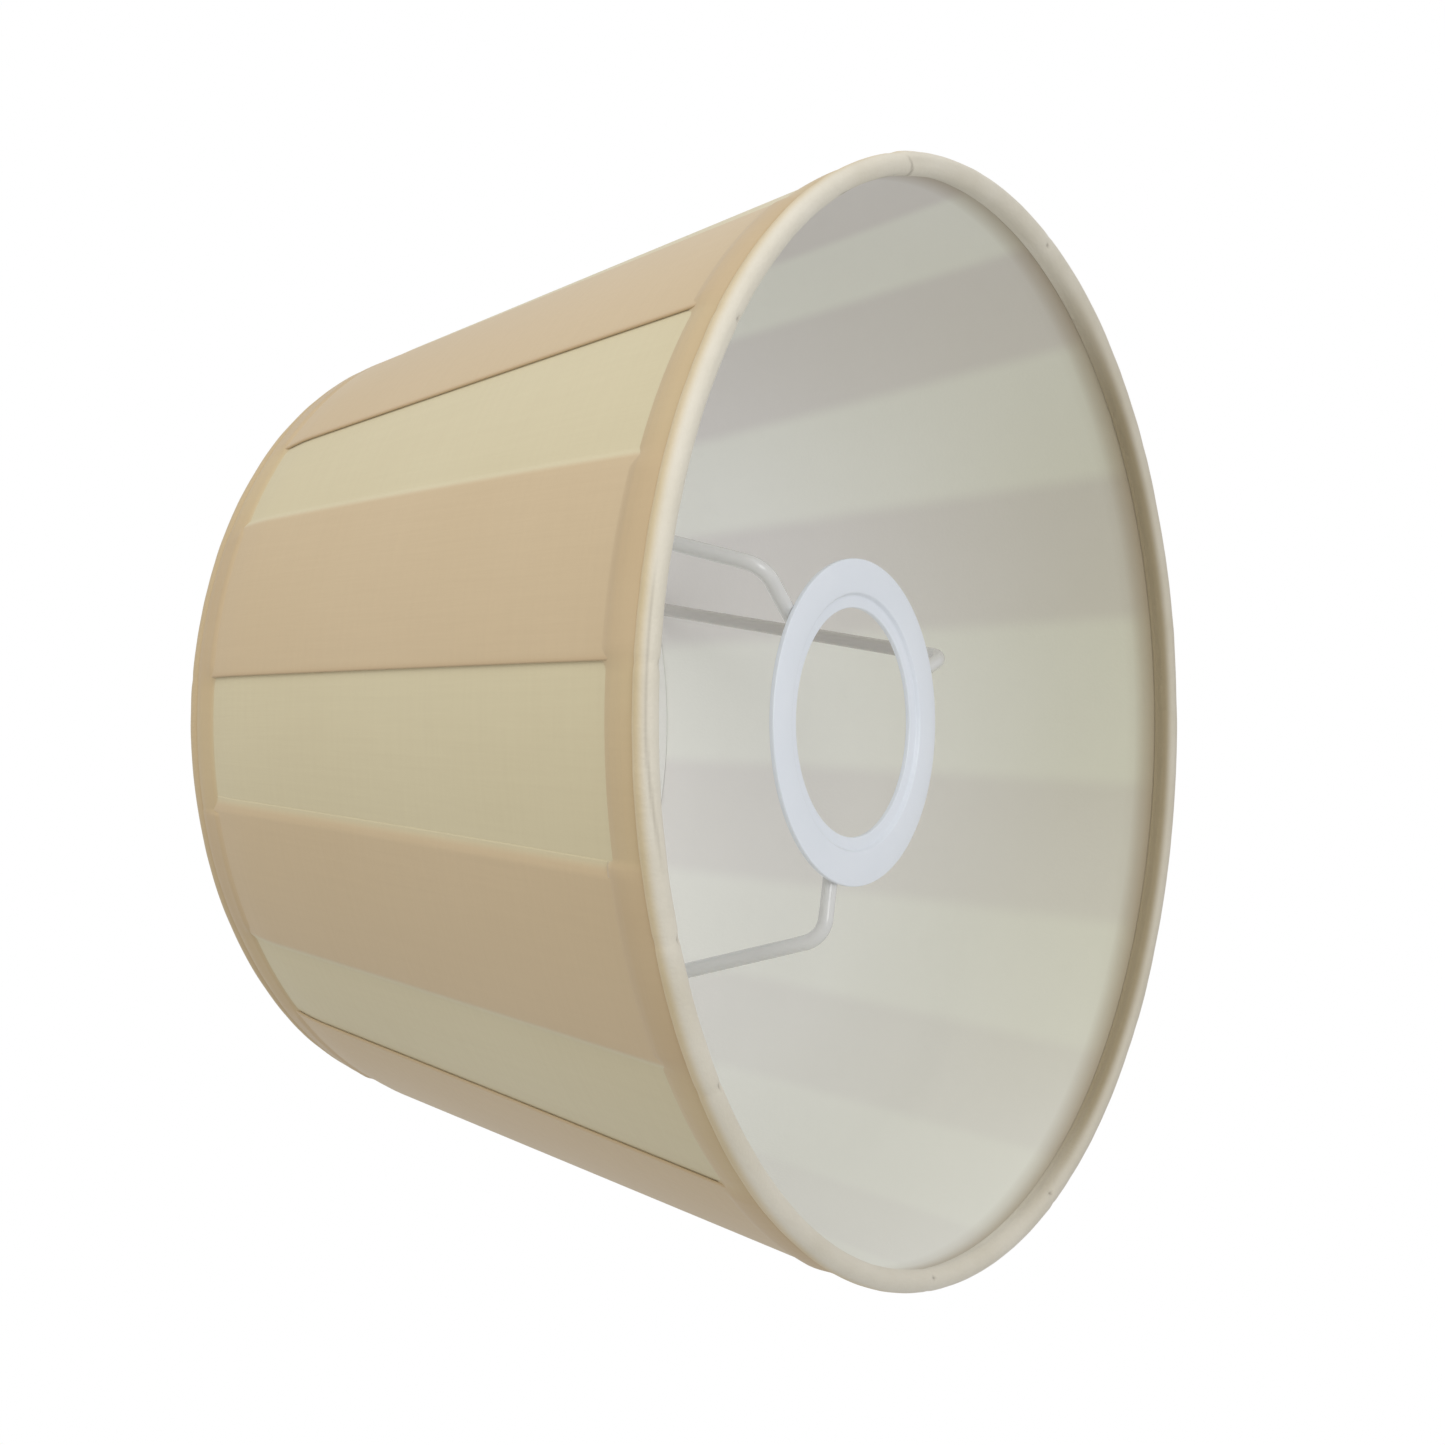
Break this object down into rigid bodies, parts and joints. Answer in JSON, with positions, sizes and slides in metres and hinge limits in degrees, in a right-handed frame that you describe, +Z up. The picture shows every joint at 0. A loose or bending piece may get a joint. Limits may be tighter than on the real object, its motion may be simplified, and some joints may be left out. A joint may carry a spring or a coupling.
{
  "type": "lamp shade",
  "caption": "Tapered pleated fabric lamp shade with a white liner, rolled rims and a dropped fitter ring on bent wire arms.",
  "frame": {"origin": "on the shade's axis, in the plane of the wide rim's underside", "axes": "+Z up the axis, from the wide rim to the small rim; -Y is the side that faces a viewer in front, and the cover's first lap is 22 degrees from it towards -X"},
  "size_m": [0.2, 0.2, 0.118],
  "materials": {
    "white_coat": "gloss white powder coat",
    "rim_wire": "bare drawn wire",
    "liner": "smooth matt translucent white",
    "tape": "clear adhesive tape",
    "pleated_cloth": "matt cream cloth, tan where it lies in folds",
    "hem_cloth": "matt tan cloth",
    "edge_cloth": "matt cream cloth, rolled tight"
  },
  "bodies": {
    "root": {"fitter_ring": "white_coat", "drop_arm_1": "white_coat", "drop_arm_2": "white_coat", "drop_arm_3": "white_coat", "small_end_wire": "rim_wire", "wide_end_wire": "rim_wire", "liner": "liner", "liner_lap_tape": "tape", "cover_half_a": "pleated_cloth", "cover_half_b": "pleated_cloth", "wide_hem_band": "hem_cloth", "small_hem_band": "hem_cloth", "wide_rolled_edge": "edge_cloth", "small_rolled_edge": "edge_cloth"}
  },
  "joints": []
}
